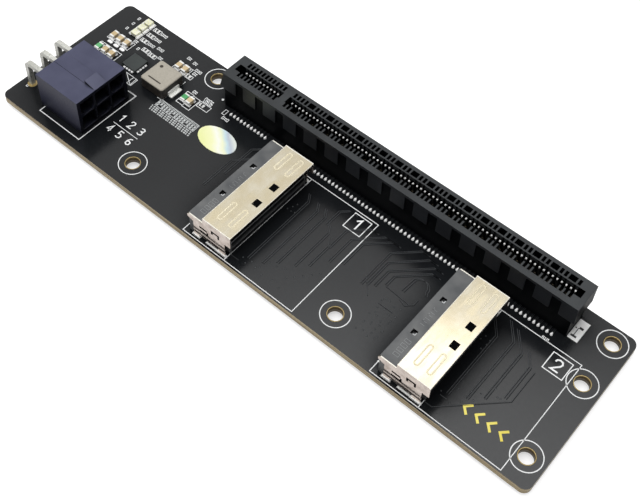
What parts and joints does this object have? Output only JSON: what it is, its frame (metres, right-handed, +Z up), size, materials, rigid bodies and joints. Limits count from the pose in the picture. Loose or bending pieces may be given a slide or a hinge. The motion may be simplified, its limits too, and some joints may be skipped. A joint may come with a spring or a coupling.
{
  "type": "card slot riser board",
  "caption": "Riser board that joins two flat cable sockets and a power header to one full-length card slot, with small power parts at one end",
  "frame": {"origin": "Centre of the board in X and Y, at the level of the tips of the soldered tails under the board, on which the part rests", "axes": "+X along the board from the power header's end to the far end, +Y from the cable sockets' edge to the card slot's edge, +Z up out of the card slot's mouth"},
  "size_m": [0.1386, 0.0388, 0.0134],
  "materials": {
    "solder_mask": "satin",
    "slot_plastic": "matte",
    "grey_plastic": "matte",
    "header_plastic": "satin",
    "shell_metal": "satin",
    "tinned_metal": "satin",
    "gold_plate": "satin",
    "pressed_powder": "matte",
    "chip_plastic": "matte",
    "tan_ceramic": "satin",
    "green_plastic": "satin",
    "white_plastic": "satin",
    "lens_plastic": "glossy",
    "sticker_film": "glossy"
  },
  "bodies": {
    "root": {"circuit_board": "solder_mask", "slot_housing": "slot_plastic", "slot_contacts_front": "tinned_metal", "slot_contacts_back": "tinned_metal", "socket_1_shell": "shell_metal", "socket_1_block": "grey_plastic", "socket_1_contacts": "tinned_metal", "socket_2_shell": "shell_metal", "socket_2_block": "grey_plastic", "socket_2_contacts": "tinned_metal", "power_header_housing": "header_plastic", "power_pins_upper": "tinned_metal", "power_pins_lower": "tinned_metal", "inductor_core": "pressed_powder", "inductor_terminals": "tinned_metal", "regulator_chip": "chip_plastic", "regulator_leads": "tinned_metal", "capacitor_bodies": "tan_ceramic", "capacitor_ends": "tinned_metal", "fuse_bodies": "green_plastic", "fuse_ends": "tinned_metal", "resistor_bodies": "chip_plastic", "resistor_ends": "tinned_metal", "led_bases": "white_plastic", "led_ends": "gold_plate", "led_lenses": "lens_plastic"}
  },
  "joints": []
}
